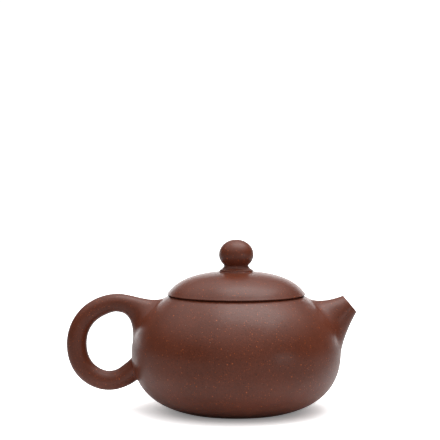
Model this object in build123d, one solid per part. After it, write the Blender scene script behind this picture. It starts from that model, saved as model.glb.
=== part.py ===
from build123d import *
from math import cos, radians, sin, sqrt
import os

# A low round teapot of unglazed clay, with a lid that lies on the mouth and lifts off.
# It is made of the clay pieces that a potter forms apart and lutes together with slip.
# Millimetres, +Z up. The origin is the middle of the foot ring on the table, and the spout points along +X.

# Pot body: radii from the middle axis, heights above the table
BELLY_RADIUS = 49.2
BELLY_HEIGHT = 27.7
SEAT_HEIGHT = 54.0
FOOT_RADIUS = 25.6
FOOT_SLOPE = 14.0
FOOT_FULLNESS = 13.5
BELLY_FULLNESS = 17.0
WALL = 3.0
SEAT_EDGE_ROUNDING = 0.3
SHOULDER_DROP = 4.9

# Foot ring and base
FOOT_RING_WIDTH = 2.6
FOOT_RECESS = 0.9
BASE_THICKNESS = 2.6

# Mouth ring, which the lid's flange drops into, and the ledge outside it that the lid's edge lies over
MOUTH_BORE_RADIUS = 27.0
MOUTH_RING_WIDTH = 2.6
MOUTH_RING_DEPTH = 6.5
SEAT_LEDGE = 2.1

# Lid
LID_CLEARANCE = 0.25
LID_OVERHANG = 1.2
LID_RISE = 11.4
LID_TOP_FULLNESS = 13.0
LID_EDGE_FULLNESS = 11.0
LID_EDGE_SLOPE = 60.0
LID_EDGE_ROUNDING = 0.35
LID_WALL = 2.8
BOARD_THICKNESS = 1.8
BOARD_MARGIN = 3.2
FLANGE_WIDTH = 2.2
FLANGE_DEPTH = 6.0

# Knob, its collar and the vent through both
COLLAR_RADIUS = 7.9
COLLAR_RISE = 0.8
COLLAR_ROUNDING = 0.5
NECK_FOOT_RADIUS = 7.0
WAIST_RADIUS = 5.75
WAIST_HEIGHT = 1.2
BALL_RADIUS = 8.15
BALL_HALF_HEIGHT = 7.0
BALL_LIFT = 7.1
VENT_RADIUS = 1.1
VENT_COUNTERSINK = 0.7

# Spout: its middle line rises at an angle, and the flare gives its radius at distances back from the lip
SPOUT_ANGLE = 40.0
SPOUT_REACH = 4.15
SPOUT_DROP = 3.9
LIP_RADIUS = 5.0
LIP_WALL = 1.2
LIP_ROUNDING = 0.45
ROOT_BORE_RADIUS = 6.5
SPOUT_FLARE = [(8.0, 8.6), (16.0, 13.9), (24.0, 17.6)]

# Strainer: a half ball of clay, a margin wider than the bore, with rings of holes as a count and an angle
STRAINER_MARGIN = 0.7
STRAINER_WALL = 1.4
STRAINER_HOLE_RADIUS = 0.85
STRAINER_RINGS = [(1, 0.0), (6, 28.0), (12, 54.0)]

# Handle: each section's distance out from the wall, its depth under the seat and its radius
UPPER_HANDLE = [
    (-10.4, 14.0, 10.5),
    (-4.1, 11.0, 8.5),
    (2.8, 8.0, 6.5),
    (10.5, 5.3, 4.8),
    (19.0, 3.6, 4.1),
    (24.3, 5.2, 4.3),
    (27.2, 9.9, 4.3),
]
# The same from the bow down, with its depth under the belly's widest level
LOWER_HANDLE = [
    (26.4, -3.3, 4.5),
    (22.2, 10.3, 4.55),
    (13.3, 14.0, 4.5),
    (6.3, 12.3, 4.65),
    (0.9, 9.4, 5.1),
    (-4.3, 6.2, 5.2),
]

# Longer than any piece, for cuts that run right through
THROUGH = 400.0


# Places and sizes that follow from the values above
base_radius = FOOT_RADIUS - FOOT_RING_WIDTH
mouth_ring_radius = MOUTH_BORE_RADIUS + MOUTH_RING_WIDTH
seat_radius = mouth_ring_radius + SEAT_LEDGE
shoulder_height = (SEAT_HEIGHT - BELLY_HEIGHT) / sqrt(1 - (seat_radius / BELLY_RADIUS) ** 2)
lid_radius = seat_radius + LID_OVERHANG
flange_radius = MOUTH_BORE_RADIUS - LID_CLEARANCE
flange_bore_radius = flange_radius - FLANGE_WIDTH
board_radius = lid_radius - BOARD_MARGIN
board_top = SEAT_HEIGHT + BOARD_THICKNESS
lid_top = SEAT_HEIGHT + LID_RISE
collar_top = lid_top + COLLAR_RISE
ball_height = collar_top + BALL_LIFT
knob_top = ball_height + BALL_HALF_HEIGHT
lip_bore_radius = LIP_RADIUS - LIP_WALL
strainer_radius = ROOT_BORE_RADIUS + STRAINER_MARGIN + STRAINER_WALL
spout_direction = Vector(cos(radians(SPOUT_ANGLE)), 0, sin(radians(SPOUT_ANGLE)))
lip_middle = Vector(BELLY_RADIUS + SPOUT_REACH, 0, SEAT_HEIGHT - SPOUT_DROP)


def inset(curve, depth, stations=9):
    """A curve at a depth below an outline, on the side of the middle axis."""
    points = []
    for station in range(stations):
        share = station / (stations - 1)
        point = curve @ share
        along = curve % share
        points.append(Vector(point.X - along.Y * depth, point.Y + along.X * depth))
    return Spline(*points, tangents=[curve % 0, curve % 1])


def closed(curves, *corners):
    """The area inside curves and the straight lines that join corners, as radius and height."""
    return make_face([*curves, Polyline(*corners)])


def block(*outline):
    """The area between the middle axis and an outline that rises from first to last."""
    low = outline[0] @ 0
    high = outline[-1] @ 1
    return closed(outline, high, (0, high.Y), (0, low.Y), low)


def band(inner_radius, outer_radius, low, high):
    """A plain ring's section, as radius and height."""
    width = outer_radius - inner_radius
    return Pos(inner_radius + width / 2, (low + high) / 2) * Rectangle(width, high - low)


def eased(section, corner, rounding):
    """A section with one of its corners rounded."""
    return fillet(section.vertices().sort_by_distance(corner)[0], rounding)


def turned(section):
    """A solid from a section turned once round the middle axis."""
    return revolve(Plane.XZ * section, Axis.Z)


# Outlines of the pot, from the foot to the widest level and from there to the seat
foot_pull = FOOT_FULLNESS * Vector(cos(radians(FOOT_SLOPE)), sin(radians(FOOT_SLOPE)))
lower_outline = Bezier(
    (FOOT_RADIUS, 0),
    Vector(FOOT_RADIUS, 0) + foot_pull,
    (BELLY_RADIUS, BELLY_HEIGHT - BELLY_FULLNESS),
    (BELLY_RADIUS, BELLY_HEIGHT),
)
quarter = EllipticalCenterArc((0, BELLY_HEIGHT), BELLY_RADIUS, shoulder_height, start_angle=0, arc_size=90)


def wall_edge(height):
    """The point on the pot's outline at a height."""
    outline = quarter if height > BELLY_HEIGHT else lower_outline
    return outline.find_intersection_points(Axis((0, height, 0), (1, 0, 0)))[0]


seat_edge = wall_edge(SEAT_HEIGHT)
upper_outline = quarter.trim(0, quarter.param_at_point(seat_edge))

pot_section = eased(block(lower_outline, upper_outline), seat_edge, SEAT_EDGE_ROUNDING)
chamber_section = block(inset(lower_outline, WALL), inset(upper_outline, WALL))
pot_block = turned(pot_section)
chamber = turned(chamber_section)

# The wall in one, before it is parted at the shoulder: it is open for the base and for the mouth ring
base_opening = band(0, base_radius, -THROUGH, BELLY_HEIGHT)
mouth_opening = band(0, mouth_ring_radius, BELLY_HEIGHT, THROUGH)
wall_section = pot_section - chamber_section - base_opening - mouth_opening

# The joint between wall and shoulder runs square to the wall, on a line from the middle of the widest level
belly_middle = Vector(0, BELLY_HEIGHT)
joint_direction = (wall_edge(SEAT_HEIGHT - SHOULDER_DROP) - belly_middle).normalized()
above_joint = make_face(
    Polyline(
        belly_middle,
        belly_middle + joint_direction * THROUGH,
        belly_middle + Vector(0, THROUGH),
        close=True,
    )
)

# The spout's middle line, from the lip back to where it leaves the inner face of the wall
spout_line = Line(lip_middle, lip_middle - spout_direction * BELLY_RADIUS)
strainer_middle = (spout_line & chamber).vertices().sort_by_distance(lip_middle)[0].center()
strainer_depth = (strainer_middle - lip_middle).length
spout_plane = Plane(origin=lip_middle, x_dir=(0, 1, 0), z_dir=-spout_direction)


def along_spout(section):
    """A solid from a section, as radius and distance back from the lip, turned about the spout's line."""
    return spout_plane * turned(section)


def spout_bore():
    """The way through the spout, which widens from the lip to the wall and runs on straight through it."""
    slope = Polyline(
        (0, -LIP_RADIUS),
        (lip_bore_radius, -LIP_RADIUS),
        (lip_bore_radius, 0),
        (ROOT_BORE_RADIUS, strainer_depth - WALL),
        (ROOT_BORE_RADIUS, strainer_depth + strainer_radius),
        (0, strainer_depth + strainer_radius),
        close=True,
    )
    return along_spout(make_face(slope))


def belly_wall():
    return turned(wall_section - above_joint) - spout_bore()


def shoulder_disc():
    return turned(wall_section & above_joint) - spout_bore()


def base_disc():
    return turned(band(0, base_radius, FOOT_RECESS, FOOT_RECESS + BASE_THICKNESS))


def mouth_ring():
    return turned(band(MOUTH_BORE_RADIUS, mouth_ring_radius, SEAT_HEIGHT - MOUTH_RING_DEPTH, SEAT_HEIGHT))


def spout():
    """A flared tube, cut away where the pot is."""
    flare_points = [(radius, back) for back, radius in SPOUT_FLARE]
    flare = Spline((LIP_RADIUS, 0), *flare_points)
    tube = eased(block(flare), (LIP_RADIUS, 0), LIP_ROUNDING)
    return along_spout(tube) - pot_block - spout_bore()


def spout_strainer():
    """A hollow half ball on the inner face of the wall, with holes that point at its middle."""
    shell = Sphere(strainer_radius) - Sphere(strainer_radius - STRAINER_WALL)
    hole = Pos(0, 0, strainer_radius) * Cylinder(STRAINER_HOLE_RADIUS, strainer_radius)
    for count, tilt in STRAINER_RINGS:
        for turn in range(count):
            shell -= Rot(0, 0, 360 * turn / count) * Rot(0, tilt, 0) * hole
    return (spout_plane * Pos(0, 0, strainer_depth) * shell) & chamber


def handle():
    """A round bar bent into an ear, thicker where it meets the pot and cut away where the pot is."""
    sections = [(out, SEAT_HEIGHT - drop, radius) for out, drop, radius in UPPER_HANDLE]
    sections += [(out, BELLY_HEIGHT - drop, radius) for out, drop, radius in LOWER_HANDLE]
    middles = [Vector(-wall_edge(height).X - out, 0, height) for out, height, radius in sections]
    path = Spline(*middles)
    rings = []
    for middle, (out, height, radius) in zip(middles, sections):
        along = path % path.param_at_point(middle)
        rings.append(Plane(origin=middle, x_dir=(0, 1, 0), z_dir=along) * Circle(radius))
    return loft(rings) - pot_block


# The lid's outline, from its edge on the seat to the middle of its top
edge_pull = LID_EDGE_FULLNESS * Vector(-cos(radians(LID_EDGE_SLOPE)), sin(radians(LID_EDGE_SLOPE)))
lid_edge = Vector(lid_radius, SEAT_HEIGHT)
lid_outline = Bezier(lid_edge, lid_edge + edge_pull, (LID_TOP_FULLNESS, lid_top), (0, lid_top))
sharp_lid_section = closed([lid_outline], (0, lid_top), (0, SEAT_HEIGHT), lid_edge)
lid_section = eased(sharp_lid_section, lid_edge, LID_EDGE_ROUNDING)
lid_inner_line = inset(lid_outline, LID_WALL)
lid_hollow = closed([lid_inner_line], lid_inner_line @ 1, (0, (lid_inner_line @ 0).Y), lid_inner_line @ 0)


def vent():
    """The air hole down the middle of the knob, with an eased edge at the top."""
    hole = band(0, VENT_RADIUS, SEAT_HEIGHT, knob_top)
    ease = make_face(
        Polyline(
            (0, knob_top - VENT_RADIUS - VENT_COUNTERSINK),
            (VENT_RADIUS + VENT_COUNTERSINK, knob_top),
            (0, knob_top),
            close=True,
        )
    )
    return turned(hole) + turned(ease)


def lid_board():
    return turned(band(flange_bore_radius, board_radius, SEAT_HEIGHT, board_top))


def lid_dome():
    seat_for_board = band(0, board_radius, SEAT_HEIGHT, board_top)
    return turned(lid_section - lid_hollow - seat_for_board) - vent()


def lid_flange():
    return turned(band(flange_bore_radius, flange_radius, SEAT_HEIGHT - FLANGE_DEPTH, SEAT_HEIGHT))


def knob_collar():
    """A low ring between the dome and the knob, rounded at its top edge and cut to the dome below."""
    ring = band(0, COLLAR_RADIUS, SEAT_HEIGHT, collar_top)
    return turned(eased(ring, (COLLAR_RADIUS, collar_top), COLLAR_ROUNDING)) - turned(lid_section) - vent()


def knob():
    """A flattened ball on a waisted neck."""
    middle = (0, ball_height)
    half_turn = EllipticalCenterArc(middle, BALL_RADIUS, BALL_HALF_HEIGHT, start_angle=-90, arc_size=180)
    ball = make_face([half_turn, Line(half_turn @ 1, half_turn @ 0)])
    neck_top = ball_height - BALL_HALF_HEIGHT * sqrt(1 - (WAIST_RADIUS / BALL_RADIUS) ** 2)
    side = ThreePointArc(
        (NECK_FOOT_RADIUS, collar_top),
        (WAIST_RADIUS, collar_top + WAIST_HEIGHT),
        (WAIST_RADIUS, neck_top),
    )
    return turned(ball + block(side)) - vent()


pieces = [
    belly_wall,
    shoulder_disc,
    base_disc,
    mouth_ring,
    spout,
    spout_strainer,
    handle,
    lid_dome,
    lid_board,
    lid_flange,
    knob_collar,
    knob,
]

os.makedirs("parts", exist_ok=True)
for piece in pieces:
    export_step(piece(), f"parts/{piece.__name__}.step")
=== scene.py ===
# %% [markdown]
# # A low round clay teapot
#
# This lesson dresses the plain working model of a teapot in the shapes and the clay of the real one.
# The working model fixes every size and the one motion, which is the lid lifting off.
# Each of its clay pieces is modelled again here with clean faces, eased edges and luted joints.

# %% Load the working model
from math import acos, asin, atan, cos, pi, radians, sin, sqrt

import bmesh
import bpy
from mathutils import Matrix, Vector
from mathutils.geometry import interpolate_bezier


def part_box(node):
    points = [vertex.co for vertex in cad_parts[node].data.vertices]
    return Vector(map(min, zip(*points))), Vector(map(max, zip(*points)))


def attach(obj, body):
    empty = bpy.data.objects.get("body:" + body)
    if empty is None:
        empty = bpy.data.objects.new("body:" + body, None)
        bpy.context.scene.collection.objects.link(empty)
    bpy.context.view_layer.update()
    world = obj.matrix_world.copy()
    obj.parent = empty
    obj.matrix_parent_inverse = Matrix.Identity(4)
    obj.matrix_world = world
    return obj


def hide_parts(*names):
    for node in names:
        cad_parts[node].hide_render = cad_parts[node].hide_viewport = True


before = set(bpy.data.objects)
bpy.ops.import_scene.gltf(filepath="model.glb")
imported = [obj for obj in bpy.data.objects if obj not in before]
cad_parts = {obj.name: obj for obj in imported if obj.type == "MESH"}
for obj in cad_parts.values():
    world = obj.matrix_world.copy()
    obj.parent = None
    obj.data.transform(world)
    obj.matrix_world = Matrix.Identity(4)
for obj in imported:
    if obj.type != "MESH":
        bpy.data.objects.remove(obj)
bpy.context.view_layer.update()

print("nodes:", ", ".join(sorted(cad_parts)))

# %% [markdown]
# ## Units and sizes
#
# Clay is measured in millimetres, so every shape is drawn in millimetres and shrunk to metres when it is done.
# Sizes that the working model shows on its outside are read from the boxes round its nodes.
# The rest are the wall's and the rings' own sizes, which a box can't show.

# %% Read the sizes that show, and name the ones that don't
MM = 0.001


def low(node, axis):
    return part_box(node)[0]["xyz".index(axis)] / MM


def high(node, axis):
    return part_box(node)[1]["xyz".index(axis)] / MM


BELLY_RADIUS = high("belly_wall", "x")
SEAT_HEIGHT = high("mouth_ring", "z")
RING_RADIUS = high("mouth_ring", "x")
RING_FOOT = low("mouth_ring", "z")
BASE_RADIUS = high("base_disc", "x")
BASE_UNDERSIDE = low("base_disc", "z")
BASE_TOP = high("base_disc", "z")
FLANGE_RADIUS = high("lid_flange", "x")
FLANGE_FOOT = low("lid_flange", "z")
BOARD_RADIUS = high("lid_board", "x")
BOARD_TOP = high("lid_board", "z")
COLLAR_RADIUS = high("knob_collar", "x")
COLLAR_TOP = high("knob_collar", "z")
BALL_RADIUS = high("knob", "x")

BELLY_HEIGHT = 27.7
FOOT_RADIUS = BASE_RADIUS + 2.6
FOOT_SLOPE = radians(14)
FOOT_FULLNESS = 13.5
BELLY_FULLNESS = 17.0
SEAT_RADIUS = RING_RADIUS + 2.1
JOINT_DROP = 4.9
WALL = 3.0
MOUTH_BORE = RING_RADIUS - 2.6
FLANGE_BORE = FLANGE_RADIUS - 2.2
LID_RADIUS = SEAT_RADIUS + 1.2
LID_TOP = SEAT_HEIGHT + 11.4
LID_WALL = 2.8
VENT_RADIUS = 1.1
print(f"belly {2 * BELLY_RADIUS:.1f} mm across, seat {SEAT_HEIGHT:.1f} mm up, lid {2 * LID_RADIUS:.1f} mm across")

# %% [markdown]
# ## The camera
#
# A pot like this is photographed from a little above the table with a long lens, so that its outline stays true.
# The camera looks at the pot from straight in front, with the spout to the right. It is aimed a little above and
# to the left of the pot's middle, which sets the pot low and right of centre in the frame.

# %% Place the camera
CAMERA_DISTANCE = 742
CAMERA_RISE = radians(6.663)
CAMERA_DIP = radians(2.85)
CAMERA_TURN = radians(0.593)
LENS = 128.8

camera = bpy.data.objects.new("camera", bpy.data.cameras.new("camera"))
camera.data.lens = LENS
camera.data.sensor_width = 36
camera.data.clip_start = 0.05
camera.data.clip_end = 50
stand = Vector((0, -cos(CAMERA_RISE), sin(CAMERA_RISE))) * CAMERA_DISTANCE + Vector((0, 0, 40))
camera.location = stand * MM
camera.rotation_euler = (pi / 2 - CAMERA_DIP, 0, CAMERA_TURN)
bpy.context.scene.collection.objects.link(camera)
bpy.context.scene.camera = camera
print("camera stands at", [round(value, 3) for value in camera.location])

# %% [markdown]
# ## The studio
#
# The pot stands on white card under one large soft lamp. A soft lamp overhead gives a burnished pot its broad
# bright shoulder, the white card lights the lower half from below, and the dim side towards the camera leaves a
# darker band round the middle. A weaker lamp low on the right adds a soft spot to the belly.
# The room is a world shader that is bright above and behind and dim in front. Camera rays see plain white instead.

# %% Light the studio
scene = bpy.context.scene
scene.view_settings.view_transform = "Standard"
scene.view_settings.look = "None"


def lamp(name, place, aim, size, power):
    """A rectangular lamp at a place, in metres, that points at aim. Its first side stays level."""
    light = bpy.data.lights.new(name, "AREA")
    light.shape = "RECTANGLE"
    light.size, light.size_y = size
    light.energy = power
    holder = bpy.data.objects.new(name, light)
    holder.location = place
    back = (Vector(place) - Vector(aim)).normalized()
    upright = Vector((0, 1, 0)) if back.z > 0.9 else Vector((0, 0, 1))
    level = upright.cross(back).normalized()
    holder.rotation_euler = Matrix((level, back.cross(level), back)).transposed().to_euler()
    scene.collection.objects.link(holder)
    return holder


POT_MIDDLE = (0, 0, 0.04)
lamp("overhead_softbox", (0.11, 0.02, 0.62), POT_MIDDLE, (0.5, 0.42), 1.65)
lamp("front_fill", (0.15, -1.0, 0.3), POT_MIDDLE, (1.8, 0.8), 0.95)
lamp("right_softbox", (0.70, -0.56, 0.06), POT_MIDDLE, (0.26, 0.22), 0.42)
lamp("back_right_panel", (0.72, 1.1, 0.05), POT_MIDDLE, (0.6, 0.2), 0.5)
lamp("back_left_panel", (-0.72, 1.0, 0.05), POT_MIDDLE, (0.6, 0.2), 0.5)

floor_mesh = bmesh.new()
bmesh.ops.create_circle(floor_mesh, cap_ends=True, segments=96, radius=6)
floor_data = bpy.data.meshes.new("floor")
floor_mesh.to_mesh(floor_data)
floor_mesh.free()
floor = bpy.data.objects.new("floor", floor_data)
scene.collection.objects.link(floor)

# %% [markdown]
# ## Clay as a sum
#
# A procedural finish is a long sum of noises and masks. Wired by hand it is hard to read, so a small class wraps
# a socket and lets plain Python operators add the Math nodes. Every other node comes from one method.

# %% Wrap sockets and node trees
class Value:
    """A shader socket that can be used in sums."""

    def __init__(self, tree, socket):
        self.tree = tree
        self.socket = socket

    def math(self, operation, first, second):
        node = self.tree.nodes.new("ShaderNodeMath")
        node.operation = operation
        plug(self.tree, node.inputs[0], first)
        plug(self.tree, node.inputs[1], second)
        return Value(self.tree, node.outputs[0])

    def __add__(self, other):
        return self.math("ADD", self, other)

    def __radd__(self, other):
        return self.math("ADD", other, self)

    def __sub__(self, other):
        return self.math("SUBTRACT", self, other)

    def __rsub__(self, other):
        return self.math("SUBTRACT", other, self)

    def __mul__(self, other):
        return self.math("MULTIPLY", self, other)

    def __rmul__(self, other):
        return self.math("MULTIPLY", other, self)

    def __lt__(self, other):
        return self.math("LESS_THAN", self, other)


def plug(tree, socket, value):
    """Links a socket to a wrapped one, or sets its own value."""
    if isinstance(value, Value):
        tree.links.new(value.socket, socket)
    else:
        socket.default_value = value


class Recipe:
    """A node tree, with one way to add any node."""

    def __init__(self, owner):
        owner.use_nodes = True
        self.owner = owner
        self.tree = owner.node_tree

    def add(self, kind, settings, sockets, output=0):
        """Adds a node: its settings first, then its sockets' values or links. Gives one of its outputs."""
        node = self.tree.nodes.new("ShaderNode" + kind)
        for name, value in settings.items():
            setattr(node, name, value)
        for name, value in sockets.items():
            plug(self.tree, node.inputs[name], value)
        return Value(self.tree, node.outputs[output])

    def colours(self, share, first, second):
        """Mixes two colours, from the first at 0 to the second at 1."""
        return self.add("Mix", {"data_type": "RGBA"}, {0: share, 6: first, 7: second}, output=2)

    def fade(self, value, start, end):
        """A smooth step from 0 at start to 1 at end."""
        settings = {"interpolation_type": "SMOOTHSTEP"}
        return self.add("MapRange", settings, {"Value": value, "From Min": start, "From Max": end})

    def noise(self, place, grain, detail=2.0, output="Fac"):
        """Noise whose lumps are about grain millimetres across."""
        return self.add("TexNoise", {}, {"Vector": place, "Scale": 1 / (grain * MM), "Detail": detail}, output)


# %% [markdown]
# ## The room round the pot
#
# The world shader is the room. Its direction decides how bright it is: bright overhead and behind the pot, where
# grazing reflections pick it up as pale rims, and dim towards the front.

# %% Paint the room
ROOM_DIMNESS = 0.05
BACKDROP_BRIGHTNESS = 2.6
BACKDROP_EDGE = cos(radians(36))
BACKDROP_FULL = cos(radians(15))
BACKDROP_TOP = sin(radians(22))
CEILING_BRIGHTNESS = 1.05
CEILING_EDGE = sin(radians(22))
CEILING_FULL = sin(radians(62))

world = bpy.data.worlds.new("room")
scene.world = world
room = Recipe(world)
ray = room.add("TexCoord", {}, {}, "Generated")
ray_y = room.add("SeparateXYZ", {}, {"Vector": ray}, "Y")
ray_z = room.add("SeparateXYZ", {}, {"Vector": ray}, "Z")
behind = room.fade(ray_y, BACKDROP_EDGE, BACKDROP_FULL) * room.fade(ray_z, BACKDROP_TOP, BACKDROP_TOP / 2)
overhead = room.fade(ray_z, CEILING_EDGE, CEILING_FULL)
room_light = ROOM_DIMNESS + BACKDROP_BRIGHTNESS * behind + CEILING_BRIGHTNESS * overhead
seen = room.add("LightPath", {}, {}, "Is Camera Ray")
room_strength = room_light + seen * (1.05 - room_light)
background = room.tree.nodes["Background"]
plug(room.tree, background.inputs["Color"], (1, 1, 1, 1))
plug(room.tree, background.inputs["Strength"], room_strength)
print("room from", ROOM_DIMNESS, "in front to", ROOM_DIMNESS + BACKDROP_BRIGHTNESS, "behind")

# %% [markdown]
# The card is greyer to the pot than it looks from the camera, as a real one is once its picture is exposed until
# the card goes white. To the camera the card also glows, which is painted light: the glow is least close round the
# pot, which paints the pot's soft shadow on the card, and grows away from it, so no horizon shows. Away from the pot
# it glows a little more and more, so no horizon shows.

# %% Lay the card
CARD_TO_POT = 0.95
FRONT_TO_POT = 0.5
CARD_FRONT = -0.07
CARD_CURVE = 7.0
CARD_TO_CAMERA = 1.2
PAINTED_GLOW_LEAST = 0.12
PAINTED_SHADOW_FULL = 0.015
PAINTED_SHADOW_END = 0.082

card = Recipe(bpy.data.materials.new("white_card"))
card.tree.nodes.remove(card.tree.nodes["Principled BSDF"])
card_place = card.add("TexCoord", {}, {}, "Object")
from_pot = card.add("VectorMath", {"operation": "LENGTH"}, {0: card_place}, "Value")
# Painted shadow and glow: the card's own glow is least near the pot and rises away from it, which paints the shadow.
painted_glow_and_shadow = PAINTED_GLOW_LEAST + card.fade(from_pot, PAINTED_SHADOW_FULL, PAINTED_SHADOW_END)
painted_glow_colour = card.add("CombineColor", {}, {"Red": painted_glow_and_shadow, "Green": painted_glow_and_shadow, "Blue": painted_glow_and_shadow})
card_x = card.add("SeparateXYZ", {}, {"Vector": card_place}, "X")
card_y = card.add("SeparateXYZ", {}, {"Vector": card_place}, "Y")
card_share = card.fade(card_y - CARD_CURVE * card_x * card_x, CARD_FRONT - 0.02, CARD_FRONT + 0.02)
grey = FRONT_TO_POT + (CARD_TO_POT - FRONT_TO_POT) * card_share
card_grey = card.add("CombineColor", {}, {"Red": grey, "Green": grey, "Blue": grey})
to_pot = card.add("BsdfDiffuse", {}, {"Color": card_grey})
to_camera = card.add("BsdfDiffuse", {}, {"Color": (CARD_TO_CAMERA, CARD_TO_CAMERA, CARD_TO_CAMERA, 1)})
# The painted glow and shadow are added as emission, seen only by the camera.
painted_glow = card.add("Emission", {}, {"Color": painted_glow_colour, "Strength": 1.0})
seen_with_painted_glow = card.add("AddShader", {}, {0: to_camera, 1: painted_glow})
card_seen = card.add("LightPath", {}, {}, "Is Camera Ray")
card_surface = card.add("MixShader", {}, {0: card_seen, 1: to_pot, 2: seen_with_painted_glow})
plug(card.tree, card.tree.nodes["Material Output"].inputs["Surface"], card_surface)
floor_data.materials.append(card.owner)

# %% [markdown]
# ## Purple sand clay
#
# This clay is fired bare. It is a brown body full of sand: most grains are a little lighter or darker than the
# body, some are orange to red, and a few are pale or nearly black. Outside, the potter burnishes it with a horn
# blade, which presses the grains flat and leaves a soft sheen. Inside it is left as it was scraped.
#
# A grain is a Voronoi cell's middle: the surface cuts through cells, and where it passes close to a middle it
# shows a grain. Each cell's own random colour decides whether its grain is of this sort and how large it is, and
# a little noise on the position makes the outlines ragged.

# %% Mix the clay
BODY_DARK = (0.143, 0.0345, 0.0155, 1)
BODY_LIGHT = (0.193, 0.049, 0.024, 1)
SAND_PALE = (0.36, 0.22, 0.155, 1)
SAND_ORANGE = (0.62, 0.145, 0.040, 1)
SAND_RED = (0.30, 0.060, 0.026, 1)
SAND_BLACK = (0.022, 0.012, 0.010, 1)


def grains(recipe, place, spacing, radius, share):
    """A mask of round grains, where share of the cells hold one."""
    size = {"Vector": place, "Scale": 1 / (spacing * MM)}
    distance = recipe.add("TexVoronoi", {}, size, "Distance")
    chance = recipe.add("TexVoronoi", {}, size, "Color")
    lot = recipe.add("SeparateColor", {}, {"Color": chance}, "Red")
    growth = recipe.add("SeparateColor", {}, {"Color": chance}, "Green")
    reach = (0.55 + 0.75 * growth) * (radius / spacing)
    inside = recipe.fade(distance - reach, 0.12 * radius / spacing, -0.22 * radius / spacing)
    return inside * (lot < share)


def clay(name, roughness, grain_depth):
    """The fired clay, burnished or plain."""
    recipe = Recipe(bpy.data.materials.new(name))
    place = recipe.add("TexCoord", {}, {}, "Object")
    wander = recipe.noise(place, 0.5, output="Color")
    centred = recipe.add("VectorMath", {"operation": "SUBTRACT"}, {0: wander, 1: (0.5, 0.5, 0.5)})
    shift = recipe.add("VectorMath", {"operation": "SCALE"}, {0: centred, "Scale": 0.35 * MM})
    ragged = recipe.add("VectorMath", {"operation": "ADD"}, {0: place, 1: shift})

    clouds = recipe.noise(place, 22, 3)
    mottle = recipe.noise(place, 0.9, 3)
    dust = recipe.noise(place, 0.32, 2)
    body_share = recipe.fade(0.45 * clouds + 0.33 * mottle + 0.22 * dust, 0.36, 0.66)
    colour = recipe.colours(body_share, BODY_DARK, BODY_LIGHT)

    red = grains(recipe, ragged, 0.55, 0.15, 0.45)
    orange = grains(recipe, ragged, 0.85, 0.17, 0.42)
    coarse = grains(recipe, ragged, 2.2, 0.27, 0.24)
    pale = grains(recipe, ragged, 1.9, 0.18, 0.15)
    black = grains(recipe, ragged, 0.80, 0.18, 0.30)
    colour = recipe.colours(0.55 * red, colour, SAND_RED)
    colour = recipe.colours(0.70 * black, colour, SAND_BLACK)
    colour = recipe.colours(0.85 * orange, colour, SAND_ORANGE)
    colour = recipe.colours(0.90 * coarse, colour, SAND_ORANGE)
    colour = recipe.colours(0.70 * pale, colour, SAND_PALE)

    ripple = recipe.noise(place, 7, 1)
    pits = recipe.fade(recipe.noise(place, 0.6, 2), 0.40, 0.28)
    height = 0.50 * mottle + 0.30 * dust + 1.6 * ripple - 0.55 * pits + 0.20 * (orange + pale + black)
    bump = recipe.add("Bump", {}, {"Height": height, "Distance": grain_depth * MM, "Strength": 1.0}, "Normal")
    gloss = roughness + 0.14 * (mottle - 0.5) + 0.10 * (clouds - 0.5) + 0.12 * pits - 0.06 * orange

    shader = recipe.tree.nodes["Principled BSDF"]
    plug(recipe.tree, shader.inputs["Base Color"], colour)
    plug(recipe.tree, shader.inputs["Roughness"], gloss)
    plug(recipe.tree, shader.inputs["Normal"], bump)
    plug(recipe.tree, shader.inputs["IOR"], 1.46)
    plug(recipe.tree, shader.inputs["Specular IOR Level"], 0.5)
    return recipe.owner


burnished = clay("burnished_clay", 0.33, 0.05)
plain = clay("plain_clay", 0.78, 0.09)
print("finishes:", burnished.name, plain.name, len(burnished.node_tree.nodes), "nodes each")

# %% [markdown]
# ## From outline to piece
#
# A round clay piece is drawn as the outline of its cut wall: a closed loop of radius and height. Corners that the
# potter eases with a wet cloth are bevelled while the outline is still a wire, because a vertex bevel on a wire
# rounds the corner before there is anything else to disturb. Then the wire is spun about the pot's axis.

# %% Spin outlines
TURN_STEPS = 160


def outline_curve(start, start_pull, end_pull, end, count):
    """Points of radius and height on a smooth curve between two ends."""
    return interpolate_bezier(Vector(start), Vector(start_pull), Vector(end_pull), Vector(end), count)


def inset(points, depth):
    """The same outline a depth further in. It rises with the pot's outside on its right."""
    moved = []
    for before, here, after in zip(points[:1] + points, points, points[1:] + points[-1:]):
        along = (after - before).normalized()
        moved.append(here + Vector((-along.y, along.x)) * depth)
    return moved


def spun(outline, eased=(), steps=TURN_STEPS):
    """Spins a closed outline about the axis. eased lists corners and how far from them the rounding starts."""
    bm = bmesh.new()
    verts = [bm.verts.new((radius, 0, height)) for radius, height in outline]
    for pair in zip(verts, verts[1:] + verts[:1]):
        if max(pair[0].co.x, pair[1].co.x) > 0:
            bm.edges.new(pair)
    for corner, start in eased:
        target = Vector((corner[0], 0, corner[1]))
        nearest = min(bm.verts, key=lambda vert: (vert.co - target).length)
        bmesh.ops.bevel(
            bm,
            geom=[nearest],
            offset=start,
            offset_type="OFFSET",
            segments=5,
            profile=0.5,
            affect="VERTICES",
            material=-1,
        )
    wire = bm.verts[:] + bm.edges[:]
    bmesh.ops.spin(bm, geom=wire, cent=(0, 0, 0), axis=(0, 0, 1), angle=2 * pi, steps=steps, use_merge=True)
    bmesh.ops.remove_doubles(bm, verts=bm.verts[:], dist=0.0005)
    bmesh.ops.recalc_face_normals(bm, faces=bm.faces[:])
    return bm


# %% [markdown]
# A finished piece is shrunk to metres and linked with its object at the origin. Faces meet softly unless the edge
# between them is sharper than 50 degrees. It rides on its body and stands in for its node of the working model.

# %% Finish a piece
EDGE_ANGLE = radians(50)


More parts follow.
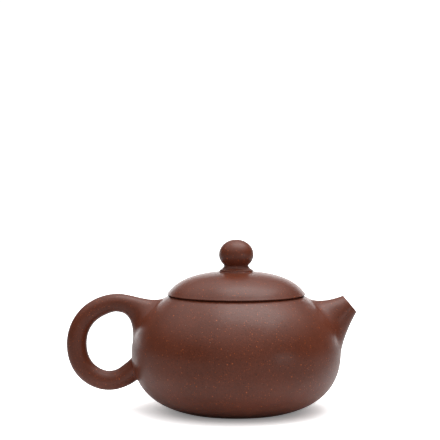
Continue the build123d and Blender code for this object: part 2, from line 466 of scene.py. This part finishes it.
def to_metres(bm):
    bmesh.ops.scale(bm, vec=(MM, MM, MM), verts=bm.verts[:])


def new_object(bm, name):
    """A linked object from a bmesh in metres."""
    data = bpy.data.meshes.new(name)
    bm.to_mesh(data)
    bm.free()
    piece = bpy.data.objects.new(name, data)
    scene.collection.objects.link(piece)
    return piece


def finish(piece, body, node):
    """Shades a piece and ties it to the working model."""
    data = piece.data
    data.shade_smooth()
    data.set_sharp_from_angle(angle=EDGE_ANGLE)
    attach(piece, body)
    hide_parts(node)
    print(f"{piece.name}: {len(data.vertices)} verts, {len(data.polygons)} faces, rides on {body}")


def coat(piece, outside, inside=None, is_inside=None):
    """Gives every face the outside clay, and those that is_inside picks by middle and normal the inside clay."""
    piece.data.materials.clear()
    piece.data.materials.append(outside)
    if inside:
        piece.data.materials.append(inside)
        for face in piece.data.polygons:
            face.material_index = 1 if is_inside(face.center / MM, face.normal) else 0


def cut_away(piece, cutter):
    """Takes a cutter's shape out of a piece and removes the cutter."""
    cut = piece.modifiers.new("cut", "BOOLEAN")
    cut.object = cutter
    cut.solver = "EXACT"
    depsgraph = bpy.context.evaluated_depsgraph_get()
    data = bpy.data.meshes.new_from_object(piece.evaluated_get(depsgraph))
    piece.modifiers.clear()
    piece.data = data
    bpy.data.objects.remove(cutter)


# %% [markdown]
# ## The belly
#
# The potter beats a strip of clay into a tube, closes it below with a disc and above with a domed disc, and beats
# both into one even curve. The lower half is a full, low curve from the foot, and the upper half a quarter of
# an ellipse that the seat cuts off.

# %% Draw the pot's outline
DOME_HEIGHT = (SEAT_HEIGHT - BELLY_HEIGHT) / sqrt(1 - (SEAT_RADIUS / BELLY_RADIUS) ** 2)
JOINT_HEIGHT = SEAT_HEIGHT - JOINT_DROP
HOLD = 0.08


def shoulder_arc(start, end, count):
    """The ellipse above the widest level, between two heights."""
    first = asin((start - BELLY_HEIGHT) / DOME_HEIGHT)
    last = asin((end - BELLY_HEIGHT) / DOME_HEIGHT)
    angles = [first + (last - first) * step / (count - 1) for step in range(count)]
    return [Vector((BELLY_RADIUS * cos(turn), BELLY_HEIGHT + DOME_HEIGHT * sin(turn))) for turn in angles]


lower_half = outline_curve(
    (FOOT_RADIUS, 0),
    (FOOT_RADIUS + FOOT_FULLNESS * cos(FOOT_SLOPE), FOOT_FULLNESS * sin(FOOT_SLOPE)),
    (BELLY_RADIUS, BELLY_HEIGHT - BELLY_FULLNESS),
    (BELLY_RADIUS, BELLY_HEIGHT),
    46,
)
belly_outside = lower_half + shoulder_arc(BELLY_HEIGHT, JOINT_HEIGHT - HOLD, 30)[1:]
belly_outside += shoulder_arc(JOINT_HEIGHT - HOLD, JOINT_HEIGHT, 2)[1:]
shoulder_outside = shoulder_arc(JOINT_HEIGHT, JOINT_HEIGHT + HOLD, 2)
shoulder_outside += shoulder_arc(JOINT_HEIGHT + HOLD, SEAT_HEIGHT, 16)[1:]
wall_outside = belly_outside + shoulder_outside[1:]
print(f"outline of {len(wall_outside)} points, dome height {DOME_HEIGHT:.2f} mm")

# %% [markdown]
# The spout and the handle grow out of the wall, so a few questions about the wall come up again and again: where
# is the wall at a height, and which way do its tangents run there.

# %% Ask the wall
def wall_radius(height):
    """The wall's outer radius at a height."""
    for lower, upper in zip(wall_outside, wall_outside[1:]):
        if lower.y <= height <= upper.y:
            return lower.x + (upper.x - lower.x) * (height - lower.y) / (upper.y - lower.y)
    return wall_outside[-1].x


def wall_frame(height, sideways, side):
    """A point on the wall, sideways along it from the spout's or the handle's plane, with three unit vectors
    there: up the wall, along it and out of it. side is 1 towards the spout and -1 towards the handle."""
    radius = wall_radius(height)
    turn = sideways / radius
    outward = Vector((side * cos(turn), sin(turn), 0))
    slope = (wall_radius(height + 0.2) - wall_radius(height - 0.2)) / 0.4
    up = (outward * slope + Vector((0, 0, 1))).normalized()
    along = Vector((-side * sin(turn), cos(turn), 0))
    out = (outward - Vector((0, 0, 1)) * slope).normalized()
    return outward * radius + Vector((0, 0, height)), up, along, out

# %% [markdown]
# The inner face of the wall is the outline moved in by its thickness. The cut where the shoulder disc is luted on
# runs straight from the middle of the ellipse, so both pieces share its two ends.

# %% Find the cut between belly and shoulder
dome_middle = Vector((0, BELLY_HEIGHT))
joint_line = (belly_outside[-1] - dome_middle).normalized()
inner_face = inset(wall_outside, WALL)
belly_inside = [point for point in inner_face if joint_line.cross(point - dome_middle) < 0]
shoulder_inside = inner_face[len(belly_inside):]
below = joint_line.cross(belly_inside[-1] - dome_middle)
above = joint_line.cross(shoulder_inside[0] - dome_middle)
joint_inside = belly_inside[-1].lerp(shoulder_inside[0], below / (below - above))
print("the cut runs from", tuple(round(part, 2) for part in belly_outside[-1]), "to", joint_inside[:])

# %% [markdown]
# The wall is thrown open only where the spout goes on. A Boolean is the plain way to cut a tilted round hole
# through a double curved wall, and its ragged faces end up under the spout's root.

# %% Spin the belly wall and cut the spout's hole
SPOUT_TILT = radians(40)
SPOUT_MOUTH = Vector((BELLY_RADIUS + 4.15, 0, SEAT_HEIGHT - 3.9))
SPOUT_AXIS = Vector((cos(SPOUT_TILT), 0, sin(SPOUT_TILT)))
SPOUT_UP = Vector((-sin(SPOUT_TILT), 0, cos(SPOUT_TILT)))
SPOUT_BORE = 6.5


def faces_in(middle, normal):
    """True for a face that looks towards the pot's axis."""
    return middle.x * normal.x + middle.y * normal.y < -1


def bored_cylinder(radius, start, end, segments=48):
    """A closed cylinder on the spout's axis, between two depths behind the mouth, in metres."""
    bm = bmesh.new()
    bmesh.ops.create_cone(
        bm,
        cap_ends=True,
        segments=segments,
        radius1=radius,
        radius2=radius,
        depth=end - start,
    )
    turn = Matrix.Rotation(pi / 2 - SPOUT_TILT, 4, "Y")
    place = Matrix.Translation(SPOUT_MOUTH - SPOUT_AXIS * (start + end) / 2)
    bmesh.ops.transform(bm, matrix=place @ turn, verts=bm.verts[:])
    to_metres(bm)
    return bm


belly_loop = belly_outside + [joint_inside] + belly_inside[::-1]
belly_loop += [Vector((BASE_RADIUS, belly_inside[0].y)), Vector((BASE_RADIUS, 0))]
belly_mesh = spun(belly_loop, [((FOOT_RADIUS, 0), 0.35), ((BASE_RADIUS, 0), 0.5)])
to_metres(belly_mesh)
belly = new_object(belly_mesh, "clay_belly_wall")
cut_away(belly, new_object(bored_cylinder(SPOUT_BORE + 0.1, 4, 24), "spout_hole_cutter"))
coat(belly, burnished, plain, faces_in)
finish(belly, "pot", "belly_wall")

# %% [markdown]
# The shoulder disc carries on the same curve, so the luted joint doesn't show from outside. Its top edge is the
# outer part of the seat for the lid.

# %% Spin the shoulder disc
shoulder_loop = shoulder_outside + [Vector((RING_RADIUS, SEAT_HEIGHT))]
shoulder_loop += [Vector((RING_RADIUS, shoulder_inside[-1].y))] + shoulder_inside[::-1] + [joint_inside]
shoulder_mesh = spun(shoulder_loop, [((SEAT_RADIUS, SEAT_HEIGHT), 0.35)])
to_metres(shoulder_mesh)
shoulder = new_object(shoulder_mesh, "clay_shoulder_disc")
coat(shoulder, burnished, plain, faces_in)
finish(shoulder, "pot", "shoulder_disc")

# %% [markdown]
# The base is a disc of clay inside the foot ring. Slip is pressed into the corners above and below it, so its
# outline runs out onto the inner wall in a low fillet.

# %% Spin the base disc
slip_end = next(point for point in belly_inside if point.x > BASE_RADIUS + 5.5)
base_loop = [
    (0, BASE_UNDERSIDE),
    (BASE_RADIUS - 0.9, BASE_UNDERSIDE),
    (BASE_RADIUS - 0.3, BASE_UNDERSIDE - 0.14),
    (BASE_RADIUS + 0.1, BASE_UNDERSIDE - 0.55),
    (BASE_RADIUS + 0.1, BASE_TOP - 1),
    (slip_end.x + 0.2, slip_end.y - 0.6),
    (slip_end.x, slip_end.y - 0.03),
    (slip_end.x - 2.2, BASE_TOP + 0.25),
    (BASE_RADIUS + 1, BASE_TOP + 0.03),
    (BASE_RADIUS - 1, BASE_TOP),
    (0, BASE_TOP),
]
base_mesh = spun(base_loop, [((slip_end.x - 2.2, BASE_TOP + 0.25), 1.0)])
to_metres(base_mesh)
base = new_object(base_mesh, "clay_base_disc")
coat(base, plain)
finish(base, "pot", "base_disc")

# %% [markdown]
# A thick ring stiffens the mouth. The lid rests on its top and the lid's flange drops into its bore. Below the
# seat a fillet of slip ties it to the shoulder's inner face.

# %% Spin the mouth ring
ring_loop = [
    (MOUTH_BORE, SEAT_HEIGHT),
    (MOUTH_BORE, RING_FOOT),
    (RING_RADIUS, RING_FOOT),
    (RING_RADIUS, RING_FOOT + 1.4),
    (RING_RADIUS + 0.6, RING_FOOT + 2.4),
    (RING_RADIUS + 1.9, RING_FOOT + 3.2),
    (RING_RADIUS, RING_FOOT + 4.4),
    (RING_RADIUS, SEAT_HEIGHT),
]
ring_mesh = spun(ring_loop, [(ring_loop[0], 0.4), (ring_loop[1], 0.6), (ring_loop[2], 0.6), (ring_loop[4], 0.5)])
to_metres(ring_mesh)
mouth = new_object(ring_mesh, "clay_mouth_ring")
coat(mouth, plain)
finish(mouth, "pot", "mouth_ring")

# %% [markdown]
# ## Rings of points
#
# The spout and the handle aren't round about one straight axis, so they grow ring by ring instead. One circle
# starts the mesh, its edges are extruded, and each new point is moved to its place on the next ring.

# %% Grow a tube ring by ring
def circle_places(centre, upward, across, radius, count):
    """Places round a circle, the first one straight up."""
    turns = [2 * pi * step / count for step in range(count)]
    return [centre + upward * (radius * cos(turn)) + across * (radius * sin(turn)) for turn in turns]


def first_ring(bm, places):
    """A circle of edges whose points are moved to their places."""
    bmesh.ops.create_circle(bm, cap_ends=False, segments=len(places), radius=1)
    ring = bm.verts[:]
    for vert, place in zip(ring, places):
        vert.co = place
    return ring


def ring_edges(ring):
    return [edge for edge in {edge for vert in ring for edge in vert.link_edges} if set(edge.verts) <= set(ring)]


def next_ring(bm, ring, places):
    """Extrudes a ring and moves the new points to their places."""
    made = bmesh.ops.extrude_edge_only(bm, edges=ring_edges(ring))["geom"]
    fresh = {part for part in made if isinstance(part, bmesh.types.BMVert)}
    grown = []
    for vert, place in zip(ring, places):
        twin = next(edge.other_vert(vert) for edge in vert.link_edges if edge.other_vert(vert) in fresh)
        twin.co = place
        grown.append(twin)
    return grown


def closed_mesh(bm):
    """Closes a tube's two open ends over each other's rings and turns its faces outward."""
    open_edges = [edge for edge in bm.edges if edge.is_boundary]
    bmesh.ops.bridge_loops(bm, edges=open_edges)
    bmesh.ops.recalc_face_normals(bm, faces=bm.faces[:])
    return bm


# %% [markdown]
# A root is where a tube flows into the wall. Each point of the tube's last ring is joined by a smooth curve to its
# own point of an oval on the wall, and leaves along the tube and arrives along the wall. The tube can keep longer
# pulls above, beside or below, which is how the potter's thumb shapes the three sides of a joint differently.

# %% Blend a tube into the wall
SUNK = 0.03
BURIED = 1.0


def by_side(turn, top, middle, bottom):
    """A value that goes smoothly from the top of a ring to its sides and on to its bottom."""
    upper_share = max(cos(turn), 0) ** 2
    lower_share = min(cos(turn), 0) ** 2
    return middle + (top - middle) * upper_share + (bottom - middle) * lower_share


def root_rings(start, leaving, side, first, last, width, leave_pulls, arrive_pulls, count):
    """Rings of places from a tube's last ring to an oval on the wall, then one just under the wall's skin.
    leaving has each point's direction. The oval's first and last points have the heights first and last.
    The pulls are in millimetres for the ring's first point, its sides and its last point."""
    facing = 1 if first > last else -1
    curves = []
    buried = []
    for step, (place, direction) in enumerate(zip(start, leaving)):
        turn = 2 * pi * step / len(start)
        height = (first + last) / 2 + (first - last) / 2 * cos(turn)
        foot, up, along, out = wall_frame(height, width * sin(turn), side)
        arriving = up * (facing * cos(turn)) + along * sin(turn)
        pull = place + direction * by_side(turn, *leave_pulls)
        push = foot - arriving * by_side(turn, *arrive_pulls)
        curve = interpolate_bezier(place, pull, push, foot, count)
        curve[-1] = foot - out * SUNK
        curves.append(curve[1:])
        buried.append(foot - out * BURIED - arriving * BURIED)
    return list(zip(*curves)) + [buried]


# %% [markdown]
# ## The spout
#
# The spout is a short cone whose flared root covers a good part of the wall. Its mouth is cut level across the
# tube. The bore starts at the mouth and widens to the hole in the wall.

# %% Grow the spout
SPOUT_POINTS = 96
LIP_RADIUS = 5.0
LIP_WALL = 1.2
CONE_LENGTH = 3.0
CONE_SLOPE = 0.35
CONE_FLARE = 0.0117
ACROSS = Vector((0, 1, 0))


def spout_circle(depth, radius):
    """Places round the spout at a depth behind its mouth."""
    return circle_places(SPOUT_MOUTH - SPOUT_AXIS * depth, SPOUT_UP, ACROSS, radius, SPOUT_POINTS)


def cone_radius(depth):
    return LIP_RADIUS + CONE_SLOPE * depth + CONE_FLARE * depth ** 2


bore_steps = [(15.1, SPOUT_BORE), (13.5, SPOUT_BORE), (12.0, SPOUT_BORE - 0.05), (9.0, 5.85), (6.0, 5.1), (3.0, 4.4)]
bore_steps += [(1.0, 3.98), (0.5, LIP_RADIUS - LIP_WALL + 0.06), (0.2, LIP_RADIUS - LIP_WALL + 0.1)]
lip_steps = [(0.06, 3.98), (0, 4.15), (0, 4.84), (0.03, 4.94), (0.12, cone_radius(0.12))]
cone_steps = [(depth / 10, cone_radius(depth / 10)) for depth in (5, 10, 16, 23, 30)]

spout_mesh = bmesh.new()
ring = first_ring(spout_mesh, spout_circle(*bore_steps[0]))
for depth, radius in bore_steps[1:] + lip_steps + cone_steps:
    ring = next_ring(spout_mesh, ring, spout_circle(depth, radius))
flare = CONE_SLOPE + 2 * CONE_FLARE * CONE_LENGTH
neck = SPOUT_MOUTH - SPOUT_AXIS * CONE_LENGTH
neck_ring = [vert.co.copy() for vert in ring]
neck_leaving = [((place - neck).normalized() * flare - SPOUT_AXIS).normalized() for place in neck_ring]
SPOUT_ROOT_TOP = SEAT_HEIGHT - 1.0
SPOUT_ROOT_BOTTOM = 25.5
for places in root_rings(
    neck_ring,
    neck_leaving,
    side=1,
    first=SPOUT_ROOT_TOP,
    last=SPOUT_ROOT_BOTTOM,
    width=14.5,
    leave_pulls=(5.0, 5.5, 4.0),
    arrive_pulls=(4.0, 6.0, 6.0),
    count=22,
):
    ring = next_ring(spout_mesh, ring, places)
closed_mesh(spout_mesh)
to_metres(spout_mesh)
spout = new_object(spout_mesh, "clay_spout")


def in_bore(middle, normal):
    """True for a face that looks towards the spout's axis."""
    from_mouth = middle - SPOUT_MOUTH
    return (from_mouth - SPOUT_AXIS * from_mouth.dot(SPOUT_AXIS)).dot(normal) < -1


coat(spout, burnished, plain, in_bore)
finish(spout, "pot", "spout")

# %% [markdown]
# Behind the spout a hollow half ball with small holes keeps the leaves back. Its holes are one joined cutter, so
# a single Boolean makes them all.

# %% Spin the strainer and pierce it
STRAINER_DEPTH = 15.1
STRAINER_RADIUS = 8.6
STRAINER_WALL = 1.4
STRAINER_SKIRT = 1.8
HOLE_RADIUS = 0.85
HOLE_RINGS = [(1, 0), (6, 28), (12, 54)]


def quarter(radius):
    """Points of a quarter circle from its edge to the axis."""
    return [(radius * cos(pi / 2 * step / 16), radius * sin(pi / 2 * step / 16)) for step in range(17)]


inner_radius = STRAINER_RADIUS - STRAINER_WALL
strainer_loop = [(inner_radius, -STRAINER_SKIRT), (STRAINER_RADIUS, -STRAINER_SKIRT)]
strainer_loop += quarter(STRAINER_RADIUS)[:-1] + [(0, STRAINER_RADIUS), (0, inner_radius)]
strainer_loop += quarter(inner_radius)[:-1][::-1]
strainer_mesh = spun(strainer_loop, steps=64)
strainer_turn = SPOUT_AXIS.to_track_quat("-Z", "Y").to_matrix().to_4x4()
strainer_place = Matrix.Translation(SPOUT_MOUTH - SPOUT_AXIS * STRAINER_DEPTH) @ strainer_turn
bmesh.ops.transform(strainer_mesh, matrix=strainer_place, verts=strainer_mesh.verts[:])
to_metres(strainer_mesh)
strainer = new_object(strainer_mesh, "clay_spout_strainer")

drill = bmesh.new()
for count, lean in HOLE_RINGS:
    for step in range(count):
        turn = Matrix.Rotation(2 * pi * step / count, 4, "Z") @ Matrix.Rotation(radians(lean), 4, "Y")
        middle = Matrix.Translation((0, 0, STRAINER_RADIUS - STRAINER_WALL / 2))
        bmesh.ops.create_cone(
            drill,
            cap_ends=True,
            segments=16,
            radius1=HOLE_RADIUS,
            radius2=HOLE_RADIUS,
            depth=STRAINER_WALL + 1.2,
            matrix=strainer_place @ turn @ middle,
        )
to_metres(drill)
cut_away(strainer, new_object(drill, "strainer_hole_cutter"))
coat(strainer, plain)
finish(strainer, "pot", "spout_strainer")

# %% [markdown]
# ## The handle
#
# The handle is a bar of clay, thicker at its two ends, bent into an ear. Its middle line is drawn through a few
# stations of place and radius. It flows broadly into the shoulder above, and below it is set on with only a thin
# fillet, as the lower end is luted last.

# %% Grow the handle
HANDLE_POINTS = 56
HANDLE_STATIONS = [
    (-53.8, 50.25, 4.35),
    (-56.3, 50.45, 4.25),
    (-63.2, 48.8, 4.45),
    (-70.3, 43.9, 4.55),
    (-75.1, 31.0, 4.75),
    (-69.7, 17.6, 4.75),
    (-59.3, 13.7, 4.6),
    (-53.6, 15.2, 4.65),
    (-51.0, 16.75, 4.85),
]


def smooth_line(stations, steps):
    """Points on a smooth line through all stations, steps of them to each gap. A station's heading weighs the
    nearer neighbour more, which is exact for stations on a circle."""
    marks = [Vector(station) for station in stations]
    chords = [end - start for start, end in zip(marks, marks[1:])]
    turns = [(a.normalized() * b.length + b.normalized() * a.length).normalized() for a, b in zip(chords, chords[1:])]
    turns = [turns[0].reflect(chords[0].normalized()) * -1] + turns
    turns += [turns[-1].reflect(chords[-1].normalized()) * -1]
    line = []
    for place, chord in enumerate(chords):
        pull = chord.length / 3 / cos(turns[place].angle(turns[place + 1]) / 4) ** 2
        leave = marks[place] + turns[place] * pull
        arrive = marks[place + 1] - turns[place + 1] * pull
        line += interpolate_bezier(marks[place], leave, arrive, marks[place + 1], steps + 1)[:-1]
    return line + [marks[-1]]


handle_line = smooth_line(HANDLE_STATIONS, 12)
middles = [Vector((spot.x, 0, spot.y)) for spot in handle_line]
headings = [(middles[i + 1] - middles[i]).normalized() for i in range(len(middles) - 1)]
headings = [headings[0]] + [(a + b).normalized() for a, b in zip(headings, headings[1:])] + [headings[-1]]


def handle_circle(index):
    """Places round the handle. Its first point is on the ear's outside."""
    outside = ACROSS.cross(headings[index])
    return circle_places(middles[index], outside, ACROSS, handle_line[index].z, HANDLE_POINTS)


handle_mesh = bmesh.new()
shoulder_end = first_ring(handle_mesh, handle_circle(0))
ring = shoulder_end
for index in range(1, len(middles)):
    ring = next_ring(handle_mesh, ring, handle_circle(index))
for places in root_rings(
    [vert.co.copy() for vert in ring],
    [headings[-1]] * HANDLE_POINTS,
    side=-1,
    first=13.5,
    last=25.2,
    width=5.9,
    leave_pulls=(1.2, 2.0, 2.6),
    arrive_pulls=(0.8, 0.8, 0.8),
    count=10,
):
    ring = next_ring(handle_mesh, ring, places)
ring = shoulder_end
for places in root_rings(
    [vert.co.copy() for vert in ring],
    [-headings[0]] * HANDLE_POINTS,
    side=-1,
    first=53.4,
    last=31.5,
    width=10.5,
    leave_pulls=(8.0, 6.0, 5.8),
    arrive_pulls=(6.5, 6.0, 5.1),
    count=22,
):
    ring = next_ring(handle_mesh, ring, places)
bmesh.ops.edgeloop_fill(handle_mesh, edges=[edge for edge in handle_mesh.edges if edge.is_boundary])
bmesh.ops.recalc_face_normals(handle_mesh, faces=handle_mesh.faces[:])
to_metres(handle_mesh)
handle = new_object(handle_mesh, "clay_handle")
coat(handle, burnished)
finish(handle, "pot", "handle")

# %% [markdown]
# ## The lid
#
# The lid's dome is a thinner disc, beaten over a hump. Its rim hangs a little over the seat, and its underside is
# eased up outside the seat, which leaves the thin dark line that shows where the lid ends.

# %% Spin the lid's dome
LID_EDGE_SLOPE = radians(60)
LID_EDGE_FULLNESS = 11
LID_TOP_FULLNESS = 13
lid_outside = outline_curve(
    (LID_RADIUS, SEAT_HEIGHT),
    (LID_RADIUS - LID_EDGE_FULLNESS * cos(LID_EDGE_SLOPE), SEAT_HEIGHT + LID_EDGE_FULLNESS * sin(LID_EDGE_SLOPE)),
    (LID_TOP_FULLNESS, LID_TOP),
    (0, LID_TOP),
    48,
)
lid_inside = [point for point in inset(lid_outside, LID_WALL) if point.y > BOARD_TOP and point.x > VENT_RADIUS]
lid_skin = [point for point in lid_outside if point.x > VENT_RADIUS]
LID_LIFT = 0.7
lid_loop = lid_skin[2:] + [Vector((VENT_RADIUS, LID_TOP)), Vector((VENT_RADIUS, LID_TOP - LID_WALL))]
lid_loop += lid_inside[::-1] + [Vector((lid_inside[0].x, BOARD_TOP)), Vector((BOARD_RADIUS, BOARD_TOP))]
lid_loop += [Vector((BOARD_RADIUS, SEAT_HEIGHT)), Vector((SEAT_RADIUS - 0.5, SEAT_HEIGHT))]
lid_loop += [Vector((LID_RADIUS - 0.3, SEAT_HEIGHT + LID_LIFT))]
lid_mesh = spun(lid_loop, [((LID_RADIUS - 0.3, SEAT_HEIGHT + LID_LIFT), 0.22)])
to_metres(lid_mesh)
lid = new_object(lid_mesh, "clay_lid_dome")


def faces_down(middle, normal):
    """True for a face that looks into the pot."""
    return normal.z < -0.2 or faces_in(middle, normal)


coat(lid, burnished, plain, faces_down)
finish(lid, "lid", "lid_dome")

# %% [markdown]
# Under the dome lies a flat board of clay, and from the board hangs the flange that keeps the lid in place. Both
# are plain rings, scraped clean and left dull.

# %% Spin the lid's board and flange
board_loop = [
    (FLANGE_BORE, SEAT_HEIGHT),
    (BOARD_RADIUS, SEAT_HEIGHT),
    (BOARD_RADIUS, BOARD_TOP),
    (FLANGE_BORE, BOARD_TOP),
]
board_mesh = spun(board_loop, [(board_loop[3], 0.5)])
to_metres(board_mesh)
board = new_object(board_mesh, "clay_lid_board")
coat(board, plain)
finish(board, "lid", "lid_board")

flange_loop = [
    (FLANGE_BORE, FLANGE_FOOT),
    (FLANGE_RADIUS, FLANGE_FOOT),
    (FLANGE_RADIUS, SEAT_HEIGHT),
    (FLANGE_BORE, SEAT_HEIGHT),
]
flange_mesh = spun(flange_loop, [(flange_loop[0], 0.6), (flange_loop[1], 0.6)])
to_metres(flange_mesh)
flange = new_object(flange_mesh, "clay_lid_flange")
coat(flange, plain)
finish(flange, "lid", "lid_flange")

# %% [markdown]
# The knob stands on a low round collar. Slip runs out from the collar onto the dome in a narrow fillet.

# %% Spin the collar
def dome_top(radius):
    """The height of the lid's skin at a radius."""
    for outer, inner in zip(lid_outside, lid_outside[1:]):
        if inner.x <= radius <= outer.x:
            return outer.y + (inner.y - outer.y) * (outer.x - radius) / (outer.x - inner.x)
    return LID_TOP


COLLAR_FILLET = 0.7
COLLAR_ROUNDING = 0.5
collar_foot = COLLAR_RADIUS + COLLAR_FILLET
collar_loop = [
    (VENT_RADIUS, LID_TOP - 0.6),
    (collar_foot, dome_top(collar_foot) - 0.5),
    (collar_foot, dome_top(collar_foot) - 0.02),
    (COLLAR_RADIUS, dome_top(collar_foot) + 0.05),
    (COLLAR_RADIUS, COLLAR_TOP),
    (VENT_RADIUS, COLLAR_TOP),
]
collar_mesh = spun(collar_loop, [(collar_loop[3], 0.5), (collar_loop[4], COLLAR_ROUNDING)])
to_metres(collar_mesh)
collar = new_object(collar_mesh, "clay_knob_collar")
coat(collar, burnished)
finish(collar, "lid", "knob_collar")

# %% [markdown]
# The knob is a flattened ball on a waist. A vent runs through it from top to bottom, which lets air in while
# the tea pours, and its top edge is opened with a small cone.

# %% Spin the knob
NECK_FOOT_RADIUS = 7.0
WAIST_RADIUS = 5.75
WAIST_RISE = 1.2
BALL_HALF_HEIGHT = 7.0
BALL_HEIGHT = COLLAR_TOP + 7.1
VENT_EDGE = VENT_RADIUS + 0.7


def ball_spot(turn):
    return (BALL_RADIUS * cos(turn), BALL_HEIGHT + BALL_HALF_HEIGHT * sin(turn))


ball_start = -acos(WAIST_RADIUS / BALL_RADIUS)
ball_end = acos(VENT_EDGE / BALL_RADIUS)
ball = [ball_spot(ball_start + (ball_end - ball_start) * step / 40) for step in range(41)]
knob_loop = [(VENT_RADIUS, COLLAR_TOP), (NECK_FOOT_RADIUS + 0.3, COLLAR_TOP)]
knob_loop += [(WAIST_RADIUS, COLLAR_TOP + WAIST_RISE)] + ball
knob_loop += [(VENT_RADIUS, ball[-1][1] - 0.7)]
knob_mesh = spun(knob_loop, [(knob_loop[2], 0.9), (ball[0], 0.3), (ball[-1], 0.25)])
to_metres(knob_mesh)
knob = new_object(knob_mesh, "clay_knob")
coat(knob, burnished)
finish(knob, "lid", "knob")
